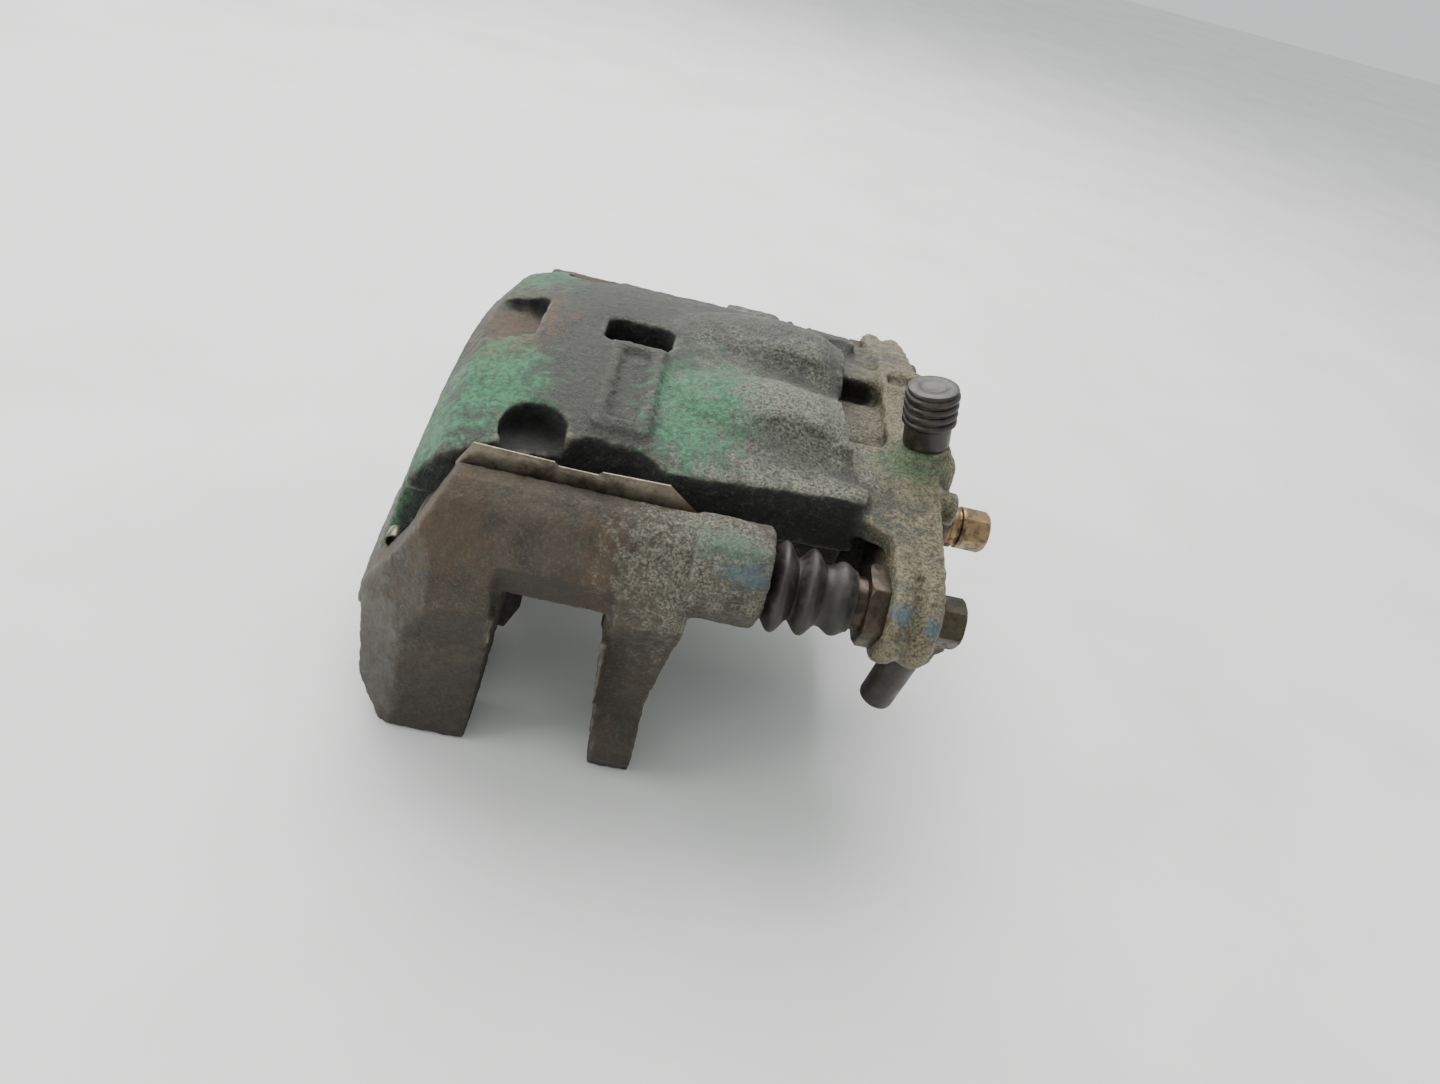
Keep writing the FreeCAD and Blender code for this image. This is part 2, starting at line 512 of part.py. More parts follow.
def main():
    os.makedirs("parts", exist_ok=True)
    save("carrier_bracket", carrier_bracket())
    clip = pad_clip()
    save("pad_clip_near", clip)
    save("pad_clip_far", mirrored(clip).cut(block(-61, 3, 50, 70, FAR_BEAM_TOP + 1.5, 90)))
    save("caliper_housing", caliper_housing())
    save("guide_pin_near", guide_pin(-PIN_Y, PIN_R, 4))
    save("guide_pin_far", guide_pin(PIN_Y, 3.6, 14))
    save("guide_pin_bush", tube(3.65, PIN_R - 0.02, PIN_TIP_X + 0.5, PIN_TIP_X + 13.9, PIN_Y, PIN_Z))
    save("guide_pin_bolts", Part.makeCompound([pin_bolt(-PIN_Y), pin_bolt(PIN_Y)]))
    save("pin_boot_near", pin_boot(-PIN_Y))
    save("pin_boot_far", pin_boot(PIN_Y))
    save("piston", piston())
    save("piston_seal", piston_seal())
    save("piston_dust_boot", piston_dust_boot())
    save("bleed_screw", leaned(bleed_screw(BLEED_X, -BLEED_Y, BLEED_TOP, 1)))
    save("bleed_screw_cap", leaned(ribbed_cap()))
    save("lower_bleed_screw", tilted(bleed_screw(LOWER_X, LOWER_Y, LOWER_BOTTOM, -1)))
    save("lower_bleed_cap", tilted(lower_cap()))
    save("hose_port_washer", port_washer())
    save("hose_port_bolt", hose_port_bolt())
    for name, face, way in (("inner", DISC_X + SLOT_HALF - PAD_GAP, 1),
                            ("outer", DISC_X - SLOT_HALF + PAD_GAP, -1)):
        lining, plate, shim = pad_set(face, way)
        save(name + "_pad_lining", lining)
        save(name + "_pad_plate", plate)
        save(name + "_pad_shim", shim)


main()
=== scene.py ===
"""Sliding disc brake caliper: cast housing, carrier bracket, pads, pins, gaiters and fittings."""

import json
import math

import bpy
from mathutils import Matrix, Vector
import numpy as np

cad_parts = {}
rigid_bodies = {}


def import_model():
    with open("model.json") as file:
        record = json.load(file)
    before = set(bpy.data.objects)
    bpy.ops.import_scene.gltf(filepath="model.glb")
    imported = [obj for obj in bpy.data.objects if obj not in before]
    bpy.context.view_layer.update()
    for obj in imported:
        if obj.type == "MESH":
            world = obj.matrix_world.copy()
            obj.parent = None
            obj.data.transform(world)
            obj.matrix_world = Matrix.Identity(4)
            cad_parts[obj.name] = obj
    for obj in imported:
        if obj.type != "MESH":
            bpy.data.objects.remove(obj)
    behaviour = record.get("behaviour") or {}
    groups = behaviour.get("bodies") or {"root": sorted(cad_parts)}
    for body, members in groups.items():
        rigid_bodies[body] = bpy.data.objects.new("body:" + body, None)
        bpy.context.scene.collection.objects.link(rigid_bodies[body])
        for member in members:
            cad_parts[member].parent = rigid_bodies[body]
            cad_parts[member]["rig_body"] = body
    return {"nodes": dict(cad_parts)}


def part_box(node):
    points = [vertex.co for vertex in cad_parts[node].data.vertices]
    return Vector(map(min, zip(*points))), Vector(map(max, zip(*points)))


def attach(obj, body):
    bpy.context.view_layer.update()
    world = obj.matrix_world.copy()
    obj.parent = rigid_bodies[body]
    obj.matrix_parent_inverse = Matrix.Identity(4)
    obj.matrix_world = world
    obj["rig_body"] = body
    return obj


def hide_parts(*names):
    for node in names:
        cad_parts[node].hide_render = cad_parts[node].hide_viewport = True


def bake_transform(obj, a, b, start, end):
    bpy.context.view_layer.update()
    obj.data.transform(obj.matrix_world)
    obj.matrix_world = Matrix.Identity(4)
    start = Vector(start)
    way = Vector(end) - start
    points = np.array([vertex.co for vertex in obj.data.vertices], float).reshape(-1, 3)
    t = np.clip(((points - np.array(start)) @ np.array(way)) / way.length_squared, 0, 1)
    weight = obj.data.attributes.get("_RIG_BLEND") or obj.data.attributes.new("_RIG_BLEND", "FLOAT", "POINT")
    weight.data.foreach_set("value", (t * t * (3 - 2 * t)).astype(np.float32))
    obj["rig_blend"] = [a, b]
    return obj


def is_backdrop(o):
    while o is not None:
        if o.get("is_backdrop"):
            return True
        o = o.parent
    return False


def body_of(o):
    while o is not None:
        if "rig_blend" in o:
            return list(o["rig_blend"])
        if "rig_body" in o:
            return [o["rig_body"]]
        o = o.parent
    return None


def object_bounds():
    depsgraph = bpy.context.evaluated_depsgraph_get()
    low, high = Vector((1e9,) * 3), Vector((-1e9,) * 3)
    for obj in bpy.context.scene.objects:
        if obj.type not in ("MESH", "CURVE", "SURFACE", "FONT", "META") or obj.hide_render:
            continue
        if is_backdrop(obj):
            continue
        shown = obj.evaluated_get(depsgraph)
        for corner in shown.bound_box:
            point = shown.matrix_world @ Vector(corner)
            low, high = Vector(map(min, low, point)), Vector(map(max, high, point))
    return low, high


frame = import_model()
CAD_LOW, CAD_HIGH = (Vector(corner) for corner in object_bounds())

bl_info = {
    "name": "Brake Caliper",
    "version": (1, 0, 0),
    "blender": (4, 5, 0),
    "location": "3D Viewport > Sidebar > Caliper",
    "description": "Builds the finished look of a weathered sliding brake caliper",
    "category": "Add Mesh",
}

MM = 0.001

# seats of the two bleed screws in mm, and how far each leans about the Y axis in degrees
UPPER_SEAT, UPPER_LEAN = Vector((62, -21, 84.5)), -12
LOWER_SEAT, LOWER_LEAN = Vector((69, -55, 37)), 9
# the upper cap stops this far above its seat, in mm
CAP_GAP = 0.3
# edges sharper than this many degrees stay sharp where a piece is shaded smooth
SHARP = 35
# faces this many degrees apart count as one flat, and edges this much sharper are eased
FLAT, EASED = 1.5, 38
# points this close, in mm, are one point
SAME_POINT = 0.001
# turns a piece that was modelled upright so that it lies along the X axis
ALONG_X = (0, math.radians(90), 0)
# the stage, in metres; the floor lies just under the lowest CAD point
FLOOR_SIZE = 6
FLOOR_GAP = 0.02 * MM
LIGHT_TARGET = Vector((0, 0, 0.04))
# the camera's place in mm, and its heading, tip and roll in degrees
CAMERA_PLACE = Vector((-12.14, -275.93, 218.02))
CAMERA_TURN = (5.76, 35.38, 15.60)
SENSOR_WIDTH = 36


# ---------------------------------------------------------------- settings

class CaliperCastingSettings(bpy.types.PropertyGroup):
    """Sizes of the two iron castings, and the colour of the housing's paint."""
    housing_voxel: bpy.props.FloatProperty(
        name="Housing mesh size", description="Edge length of the housing's even mesh",
        default=1.1 * MM, min=0.8 * MM, max=3 * MM, subtype="DISTANCE", unit="LENGTH", precision=5)
    carrier_voxel: bpy.props.FloatProperty(
        name="Carrier mesh size", description="Edge length of the carrier's even mesh",
        default=1.05 * MM, min=0.8 * MM, max=3 * MM, subtype="DISTANCE", unit="LENGTH", precision=5)
    skin: bpy.props.FloatProperty(
        name="Sand skin height", description="How far the sand mould's grain stands out of the iron",
        default=0.75 * MM, min=0, max=1 * MM, subtype="DISTANCE", unit="LENGTH", precision=5)
    paint: bpy.props.FloatVectorProperty(
        name="Paint", description="What is left of the housing's paint",
        default=(0.055, 0.235, 0.1), size=3, min=0, max=1, subtype="COLOR")


class CaliperRubberSettings(bpy.types.PropertyGroup):
    """Sizes of the gaiters and caps."""
    gaiter_wall: bpy.props.FloatProperty(
        name="Gaiter wall", description="Thickness of the rubber gaiters",
        default=1.1 * MM, min=0.5 * MM, max=2 * MM, subtype="DISTANCE", unit="LENGTH", precision=5)
    round_steps: bpy.props.IntProperty(
        name="Round steps", description="Steps in which round pieces are spun", default=96, min=24, max=160)


class CaliperStageSettings(bpy.types.PropertyGroup):
    """Lights and camera."""
    key_power: bpy.props.FloatProperty(
        name="Key light", description="Power of the large overhead light", default=22.0, min=0,
        unit="POWER", subtype="POWER")
    lens: bpy.props.FloatProperty(
        name="Lens", description="Focal length of the camera in millimetres", default=25.82, min=10)


# ---------------------------------------------------------------- mesh tools

def settings():
    return bpy.context.scene


def select_only(*pieces):
    bpy.ops.object.select_all(action="DESELECT")
    for piece in pieces:
        piece.select_set(True)
    bpy.context.view_layer.objects.active = pieces[0]


def edit(piece):
    """Go into edit mode on one piece with its whole mesh selected."""
    select_only(piece)
    bpy.ops.object.mode_set(mode="EDIT")
    bpy.ops.mesh.select_all(action="SELECT")


def leave_edit():
    bpy.ops.object.mode_set(mode="OBJECT")


def modify(piece, kind, **values):
    """Add a modifier with its values and apply it."""
    select_only(piece)
    modifier = piece.modifiers.new(kind.title(), kind)
    for name, value in values.items():
        setattr(modifier, name, value)
    bpy.ops.object.modifier_apply(modifier=modifier.name)


def settle(piece, angle=None):
    """Put the piece's place into its mesh, and shade it smooth up to an angle in degrees."""
    select_only(piece)
    bpy.ops.object.transform_apply(location=True, rotation=True, scale=True)
    if angle is None:
        bpy.ops.object.shade_smooth()
    else:
        bpy.ops.object.shade_smooth_by_angle(angle=math.radians(angle))


def finish_piece(piece, node, body, material):
    """Give the piece its material and let it stand for its CAD node on the node's body."""
    piece.data.materials.clear()
    piece.data.materials.append(material)
    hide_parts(node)
    if body:
        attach(piece, body)


def cad_copy(node, name):
    """A merged copy of a CAD node's mesh as a new piece."""
    piece = bpy.data.objects.new(name, frame["nodes"][node].data.copy())
    bpy.context.scene.collection.objects.link(piece)
    edit(piece)
    bpy.ops.mesh.remove_doubles(threshold=2 * SAME_POINT * MM)
    leave_edit()
    return piece


def cast(piece, voxel, skin):
    """Turn sharp modelled edges into cast ones: an even mesh, rounded, with the mould's uneven skin."""
    modify(piece, "REMESH", mode="VOXEL", voxel_size=voxel, adaptivity=0.0)
    modify(piece, "SMOOTH", factor=0.5, iterations=2)
    sand = bpy.data.textures.new("sand mould", "CLOUDS")
    sand.noise_scale = 2.4 * MM
    sand.noise_depth = 2
    modify(piece, "DISPLACE", texture=sand, texture_coords="LOCAL", strength=skin, mid_level=0.5)
    bpy.data.textures.remove(sand)
    settle(piece)


def paint_node(node, material):
    """A CAD node whose shape is right keeps its mesh and gets the better material."""
    data = frame["nodes"][node].data
    data.materials.clear()
    data.materials.append(material)


def eased(node, width, material):
    """A merged copy of a CAD node with its flats made whole and its edges eased by a width in mm."""
    piece = cad_copy(node, node + "_eased")
    edit(piece)
    bpy.ops.mesh.dissolve_limited(angle_limit=math.radians(FLAT))
    leave_edit()
    modify(piece, "BEVEL", width=width * MM, segments=2, limit_method="ANGLE",
           angle_limit=math.radians(EASED))
    settle(piece, SHARP)
    finish_piece(piece, node, body_of(frame["nodes"][node])[0], material)
    return piece


def turned(name, outline, place, turn):
    """A round piece: its closed half outline of (radius, height) in mm is drawn point by point,
    spun about the Z axis, and the result is turned and put in its place."""
    points = [Vector((r * MM, 0, h * MM)) for r, h in outline]
    bpy.ops.object.select_all(action="DESELECT")
    bpy.ops.mesh.primitive_plane_add(size=0.001, location=points[0])
    piece = bpy.context.object
    piece.name = name
    bpy.ops.object.transform_apply(location=True, rotation=True, scale=True)
    edit(piece)
    bpy.ops.mesh.merge(type="CENTER")
    for start, end in zip(points, points[1:] + points[:1]):
        bpy.ops.mesh.extrude_region_move(TRANSFORM_OT_translate={"value": end - start})
    bpy.ops.mesh.select_all(action="SELECT")
    bpy.ops.mesh.remove_doubles(threshold=SAME_POINT * MM)
    bpy.ops.mesh.select_all(action="SELECT")
    bpy.ops.mesh.spin(steps=settings().caliper_rubber.round_steps, angle=math.tau,
                      center=(0, 0, 0), axis=(0, 0, 1))
    bpy.ops.mesh.select_all(action="SELECT")
    bpy.ops.mesh.remove_doubles(threshold=SAME_POINT * MM)
    bpy.ops.mesh.select_all(action="SELECT")
    bpy.ops.mesh.dissolve_degenerate(threshold=0.5 * SAME_POINT * MM)
    bpy.ops.mesh.select_all(action="SELECT")
    bpy.ops.mesh.normals_make_consistent(inside=False)
    leave_edit()
    piece.rotation_euler = turn
    piece.location = Vector(place) * MM
    settle(piece, SHARP)
    return piece


def smoothed(points, per_span=4):
    """Rounds an outline: a curve through all its points, closed on itself."""
    result = []
    count = len(points)
    for k in range(count):
        p0, p1, p2, p3 = (Vector(points[(k + d) % count]) for d in (-1, 0, 1, 2))
        for j in range(per_span):
            t = j / per_span
            result.append(tuple(0.5 * (2 * p1 + (p2 - p0) * t + (2 * p0 - 5 * p1 + 4 * p2 - p3) * t * t
                                       + (3 * p1 - p0 - 3 * p2 + p3) * t ** 3)))
    return result


def waved(start, end, base, waves, wall):
    """Closed outline of a bellows wall in mm: radius base plus the waves (centre, half width, height)."""
    outer = []
    count = int((end - start) / 0.35)
    for k in range(count + 1):
        x = start + (end - start) * k / count
        radius = base
        for centre, half, height in waves:
            if abs(x - centre) < half:
                radius += height * (0.5 + 0.5 * math.cos(math.pi * (x - centre) / half)) ** 0.8
        outer.append((radius, x))
    inner = [(radius - wall, x) for radius, x in reversed(outer)]
    return outer + inner


# ---------------------------------------------------------------- materials

def hex_colour(code):
    """sRGB hex value as a linear colour."""
    values = [int(code[k:k + 2], 16) / 255 for k in (1, 3, 5)]
    return tuple(v / 12.92 if v <= 0.04045 else ((v + 0.055) / 1.055) ** 2.4 for v in values) + (1.0,)


def new_material(name, roughness, metallic=0.0, **sockets):
    """A material with its shader; a value that is the same all over is set on the shader's socket."""
    material = bpy.data.materials.new(name)
    material.use_nodes = True
    tree = material.node_tree
    shader = next(node for node in tree.nodes if node.type == "BSDF_PRINCIPLED")
    shader.inputs["Roughness"].default_value = roughness
    shader.inputs["Metallic"].default_value = metallic
    for socket, value in sockets.items():
        shader.inputs[socket.replace("_", " ")].default_value = value
    return material, tree, shader


def add(tree, kind, sockets=None, **values):
    """Add one node: values set its own properties, and sockets its inputs, as numbers or links."""
    node = tree.nodes.new(kind)
    for name, value in values.items():
        setattr(node, name, value)
    for key, value in (sockets or {}).items():
        if isinstance(value, bpy.types.NodeSocket):
            tree.links.new(value, node.inputs[key])
        else:
            node.inputs[key].default_value = value
    return node


def speckle(tree, size_mm, low, high, detail=6.0, roughness=0.65, distortion=0.0):
    """Blots about size_mm across in object space: noise that is black below low and white above high."""
    place = add(tree, "ShaderNodeTexCoord").outputs["Object"]
    noise = add(tree, "ShaderNodeTexNoise", {"Vector": place, "Scale": 1000 / size_mm, "Detail": detail,
                                             "Roughness": roughness, "Distortion": distortion})
    return add(tree, "ShaderNodeMapRange",
               {"Value": noise.outputs["Fac"], "From Min": low, "From Max": high},
               interpolation_type="SMOOTHSTEP").outputs["Result"]


def lay(tree, below, mask, strength, above):
    """Lay a colour over another where the mask is white, as thickly as the strength says."""
    amount = add(tree, "ShaderNodeMath", {0: mask, 1: strength}, operation="MULTIPLY").outputs[0]
    above = hex_colour(above) if isinstance(above, str) else above
    below = hex_colour(below) if isinstance(below, str) else below
    return add(tree, "ShaderNodeMix", {0: amount, 6: below, 7: above}, data_type="RGBA").outputs[2]


def region(tree, centre, half, soft=0.35, broken=0.6, flake_mm=5.0):
    """Mask of a patch of wear or of painted light and shade: an egg-shaped region in mm whose rim is broken
    up into flakes.
    """
    place = add(tree, "ShaderNodeTexCoord").outputs["Object"]
    moved = add(tree, "ShaderNodeVectorMath", {0: place, 1: Vector(centre) * MM}, operation="SUBTRACT")
    scaled = add(tree, "ShaderNodeVectorMath",
                 {0: moved.outputs[0], 1: Vector([1000 / h for h in half])}, operation="MULTIPLY")
    away = add(tree, "ShaderNodeVectorMath", {0: scaled.outputs[0]}, operation="LENGTH").outputs["Value"]
    flakes = speckle(tree, flake_mm, 0.3, 0.7, 8.0, 0.72)
    rim = add(tree, "ShaderNodeMath", {0: flakes, 1: 2 * broken, 2: away},
              operation="MULTIPLY_ADD").outputs[0]
    return add(tree, "ShaderNodeMapRange", {"Value": rim, "From Min": 1 + soft + broken,
                                            "From Max": 1 - soft + broken},
               interpolation_type="SMOOTHSTEP").outputs["Result"]


def along(tree, axis, low, high):
    """Mask that fades in along an axis, from a place low to a place high in mm."""
    place = add(tree, "ShaderNodeTexCoord").outputs["Object"]
    value = add(tree, "ShaderNodeSeparateXYZ", {0: place}).outputs[axis]
    return add(tree, "ShaderNodeMapRange", {"Value": value, "From Min": low * MM, "From Max": high * MM},
               interpolation_type="SMOOTHSTEP").outputs["Result"]


def facing(tree, low, high):
    """Mask by how far a surface faces up: 1 is level, 0 stands upright, below 0 looks down."""
    normal = add(tree, "ShaderNodeTexCoord").outputs["Normal"]
    value = add(tree, "ShaderNodeSeparateXYZ", {0: normal}).outputs["Z"]
    return add(tree, "ShaderNodeMapRange", {"Value": value, "From Min": low, "From Max": high},
               interpolation_type="SMOOTHSTEP").outputs["Result"]


def both(tree, *masks):
    """Mask that is white only where all the masks are, soft at their rims."""
    result = masks[0]
    for mask in masks[1:]:
        product = add(tree, "ShaderNodeMath", {0: result, 1: mask}, operation="MULTIPLY")
        result = add(tree, "ShaderNodeClamp", {0: product.outputs[0]}).outputs[0]
    return result


def edge_wear(tree, low, high):
    """White on sharp outer edges, where handling polishes the surface; with low above high, in pits."""
    sharp = add(tree, "ShaderNodeNewGeometry").outputs["Pointiness"]
    return add(tree, "ShaderNodeMapRange", {"Value": sharp, "From Min": low, "From Max": high},
               interpolation_type="SMOOTHSTEP").outputs["Result"]


def crevice_shade_and_dirt(tree, reach_mm, low, high):
    """White in corners and grooves that are shut in within reach_mm: painted shade, standing also for the
    dirt that stays there.
    """
    shade = add(tree, "ShaderNodeAmbientOcclusion", {"Distance": reach_mm * MM}, samples=8, only_local=True)
    return add(tree, "ShaderNodeMapRange",
               {"Value": shade.outputs["AO"], "From Min": high, "From Max": low},
               interpolation_type="SMOOTHSTEP").outputs["Result"]


def relief(tree, shader, *grains):
    """Chain bumps of grains (size in mm, depth in mm, strength, roughness) into the shader's normal."""
    normal = None
    place = add(tree, "ShaderNodeTexCoord").outputs["Object"]
    for size_mm, depth, strength, rough in grains:
        noise = add(tree, "ShaderNodeTexNoise", {"Vector": place, "Scale": 1000 / size_mm, "Detail": 5.0,
                                                 "Roughness": rough})
        sockets = {"Height": noise.outputs["Fac"], "Distance": depth * MM, "Strength": strength}
        if normal:
            sockets["Normal"] = normal
        normal = add(tree, "ShaderNodeBump", sockets).outputs["Normal"]
    tree.links.new(normal, shader.inputs["Normal"])


def finish_shader(tree, shader, colour, mask, smooth, rough):
    """Link the colour, and a roughness that goes from smooth to rough with the mask."""
    spread = add(tree, "ShaderNodeMapRange", {"Value": mask, "To Min": smooth, "To Max": rough})
    tree.links.new(colour, shader.inputs["Base Color"])
    tree.links.new(spread.outputs["Result"], shader.inputs["Roughness"])


def sand_cast_iron_carrier():
    """Grey iron, sand cast and rusted in use: a dull brown-grey skin with pale dust and a coarse grain."""
    material, tree, shader = new_material("sand_cast_iron_rusted", 0.72, 0.15)
    cloud = speckle(tree, 13, 0.36, 0.64)
    colour = lay(tree, "#2f2a23", cloud, 1, "#50493d")
    # brown rust gathers in cloudy blots
    colour = lay(tree, colour, speckle(tree, 8, 0.48, 0.68, 8.0, 0.7, 0.6), 0.55, "#473524")
    # dust sits on grains of sand; real ones are finer than the 0.9 mm they are drawn at here
    colour = lay(tree, colour, speckle(tree, 0.9, 0.48, 0.68, 6.0, 0.78), 0.4, "#766d59")
    silver = lay(tree, "#37352f", speckle(tree, 0.8, 0.38, 0.64, 6.0, 0.75), 1, "#95917f")
    for side in (-1, 1):
        # a rust run at the outboard end of the beam, and one beside the pin boss
        run = region(tree, (-56, side * 74, 62), (9, 9, 15), 0.5, 0.6, 5.0)
        colour = lay(tree, colour, run, 0.5, "#57422f")
        band = region(tree, (-19, side * 76, 56), (5, 9, 17), 0.5, 0.6, 4.0)
        colour = lay(tree, colour, band, 0.5, "#5a432e")
        # painted highlight: the outboard leg's outer part is painted pale grey, as if lit from the outboard
        # side
        painted_leg_highlight = region(tree, (-80, side * 72, 14), (11, 9, 34), 0.4, 0.5, 8.0)
        colour = lay(tree, colour, painted_leg_highlight, 0.6, "#66655d")
        # silver speckled bare iron on the pin boss
        bare = region(tree, (6, side * 70, 60), (21, 14, 22), 0.4, 0.5, 3.0)
        colour = lay(tree, colour, bare, 0.8, silver)
        # overspray of the housing's paint and of blue marking paint
        tint = region(tree, (10, side * 76, 74), (9, 6, 3), 0.5, 0.8, 2.5)
        colour = lay(tree, colour, tint, 0.6, "#4c6a52")
        spray = region(tree, (17, side * 79, 69), (6, 3, 2.6), 0.5, 0.9, 1.6)
        colour = lay(tree, colour, spray, 0.5, "#4a6470")
    # the legs are darker towards their feet, and faces that look down are painted darker, a painted shade
    colour = lay(tree, colour, along(tree, "Z", 36, 4), 0.4, "#25211c")
    colour = lay(tree, colour, facing(tree, 0.02, -0.16), 0.5, "#2c2824")
    # painted shade in corners and grooves, also standing for dirt
    colour = lay(tree, colour, crevice_shade_and_dirt(tree, 9, 0.45, 0.8), 0.75, "#181513")
    colour = lay(tree, colour, edge_wear(tree, 0.52, 0.60), 0.45, "#8b8673")
    colour = lay(tree, colour, edge_wear(tree, 0.49, 0.44), 0.6, "#171512")
    finish_shader(tree, shader, colour, cloud, 0.55, 0.8)
    relief(tree, shader, (1.7, 1.6, 0.9, 0.75), (0.6, 0.3, 0.5, 0.5))
    return material


def sand_cast_iron_housing():
    """Grey iron, sand cast and once painted: grey-green patina, flaking green paint, and dark flanks that
    are painted shade mixed with grease.
    """
    material, tree, shader = new_material("sand_cast_iron_painted", 0.66, 0.12)
    cloud = speckle(tree, 16, 0.36, 0.64)
    colour = lay(tree, "#1d1d1a", cloud, 1, "#3a3b35")
    # flecks of bare metal on sand grains; real ones are finer than the 0.8 mm they are drawn at here
    fleck = speckle(tree, 0.8, 0.36, 0.64, 6.0, 0.72)
    colour = lay(tree, colour, fleck, 0.25, "#6b6a5f")
    # the crown over the cylinder is rubbed to a pale speckled patina
    pale = region(tree, (22, -26, 84), (30, 34, 22), 0.4, 0.5, 9.0)
    colour = lay(tree, colour, pale, 0.8, lay(tree, "#34352e", fleck, 1, "#8f907d"))
    far_crown = region(tree, (14, 18, 92), (26, 20, 12), 0.4, 0.5, 7.0)
    colour = lay(tree, colour, far_crown, 0.5, lay(tree, "#3d3d38", fleck, 1, "#6c6d62"))
    # painted shade: the grooves between the humps are painted dark
    for across, up in ((-40, 86), (-4, 90), (36, 87)):
        painted_groove_shade = region(tree, (24, across, up), (26, 6.5, 9), 0.5, 0.4, 3.0)
        colour = lay(tree, colour, painted_groove_shade, 0.6, "#23221d")
    # olive-gold bloom of old plating on the bosses and lugs
    gold = lay(tree, "#413b2b", fleck, 1, "#948868")
    for centre, half in (((64, -66, 60), (18, 22, 22)), ((64, 66, 60), (18, 22, 22)),
                         ((64, 0, 76), (20, 52, 18))):
        colour = lay(tree, colour, region(tree, centre, half, 0.4, 0.4, 4.0), 0.75, gold)
    # paint that is left: over the outboard shoulder, behind the window and down the outboard rim
    paint = tuple(settings().caliper_casting.paint) + (1.0,)
    worn_paint = lay(tree, "#2f4a38", speckle(tree, 1.4, 0.36, 0.64, 7.0, 0.75), 1, paint)
    patches = [((-57, -37, 84), (12, 21, 11), 0.95), ((-3, -31, 84), (12, 22, 12), 0.9),
               ((-71, -48, 66), (9, 16, 24), 0.8), ((-82, -53, 40), (6, 8, 34), 0.7),
               ((-58, 40, 80), (12, 22, 12), 0.6), ((-82, 20, 40), (6, 30, 26), 0.4),
               ((57, -27, 80), (9, 9, 7), 0.4)]
    for centre, half, strength in patches:
        colour = lay(tree, colour, region(tree, centre, half, 0.5, 0.6, 5.0), strength, worn_paint)
    # blue marking paint in dabs on the lug
    for centre in ((55.5, -79, 68), (64, -80, 66), (50, -60, 77)):
        colour = lay(tree, colour, region(tree, centre, (2.6, 4, 1.9), 0.4, 0.9, 1.2), 0.6, "#3b5f70")
    # bright rust round the casting pocket
    rust = region(tree, (-59, -2, 86), (12, 18, 9), 0.45, 0.8, 4.0)
    colour = lay(tree, colour, rust, 0.45, "#6a4a2e")
    # painted shade: the two round recesses over the outboard pad are painted near black
    for side in (-1, 1):
        painted_recess_shade = region(tree, (-43, side * 50, 74), (9.6, 9.6, 8), 0.15, 0.1)
        colour = lay(tree, colour, painted_recess_shade, 0.85, "#161513")
    # upright walls are painted dark, a painted shade where the overhead light misses them, mixed with brake
    # dust and grease
    wall_shade_and_grease = both(tree, facing(tree, 0.62, 0.3), along(tree, "X", 52, 40), along(tree, "X", -80, -68))
    wall_shade_and_grease_colour = lay(tree, "#151413", speckle(tree, 1.6, 0.52, 0.72, 6.0, 0.75), 1, "#4c4941")
    colour = lay(tree, colour, wall_shade_and_grease, 0.9, wall_shade_and_grease_colour)
    # painted shade in corners and grooves, also standing for dirt
    colour = lay(tree, colour, crevice_shade_and_dirt(tree, 11, 0.5, 0.85), 0.8, "#15120f")
    colour = lay(tree, colour, edge_wear(tree, 0.515, 0.58), 0.45, "#98937f")
    colour = lay(tree, colour, edge_wear(tree, 0.49, 0.44), 0.7, "#12110f")
    finish_shader(tree, shader, colour, cloud, 0.42, 0.7)
    relief(tree, shader, (1.7, 1.5, 0.85, 0.75), (0.6, 0.3, 0.45, 0.5))
    return material


def oxidised_steel(name, dark, light, rust_code, roughness, rust_amount=0.5):
    """Machined steel that has oxidised: turned grain under brown tarnish, brighter on its edges."""
    material, tree, shader = new_material(name, roughness, 0.75)
    colour = lay(tree, dark, speckle(tree, 5, 0.35, 0.65), 1, light)
    rust = speckle(tree, 2.2, 0.48, 0.68, 7.0, 0.75)
    colour = lay(tree, colour, rust, rust_amount, rust_code)
    colour = lay(tree, colour, edge_wear(tree, 0.53, 0.62), 0.4, "#8c8371")
    finish_shader(tree, shader, colour, rust, roughness - 0.08, roughness + 0.25)
    relief(tree, shader, (0.8, 0.12, 0.5, 0.6))
    return material


def moulded_rubber(name, base, dust_code, dust_amount, roughness=0.62):
    """Moulded rubber, aged: near black, a soft sheen, and dust lying in its folds."""
    material, tree, shader = new_material(name, roughness, 0.0, IOR=1.52)
    dust = speckle(tree, 4, 0.42, 0.7)
    colour = lay(tree, base, dust, dust_amount, dust_code)
    colour = lay(tree, colour, speckle(tree, 0.9, 0.55, 0.75, 5.0, 0.8), dust_amount * 0.7, dust_code)
    finish_shader(tree, shader, colour, dust, roughness - 0.12, roughness + 0.15)
    relief(tree, shader, (1.2, 0.15, 0.5, 0.6))
    return material


def pressed_friction_lining():
    """Friction compound, hot pressed: dark grey with metal fibres about a millimetre long."""
    material, tree, shader = new_material("friction_lining_pressed", 0.9)
    base = lay(tree, "#24211f", speckle(tree, 3, 0.35, 0.65, 5.0, 0.6), 1, "#3b3632")
    fibres = speckle(tree, 0.9, 0.6, 0.72, 3.0, 0.8, 1.2)
    finish_shader(tree, shader, lay(tree, base, fibres, 0.6, "#8b7a63"), fibres, 0.92, 0.6)
    relief(tree, shader, (0.7, 0.25, 0.7, 0.7))
    return material


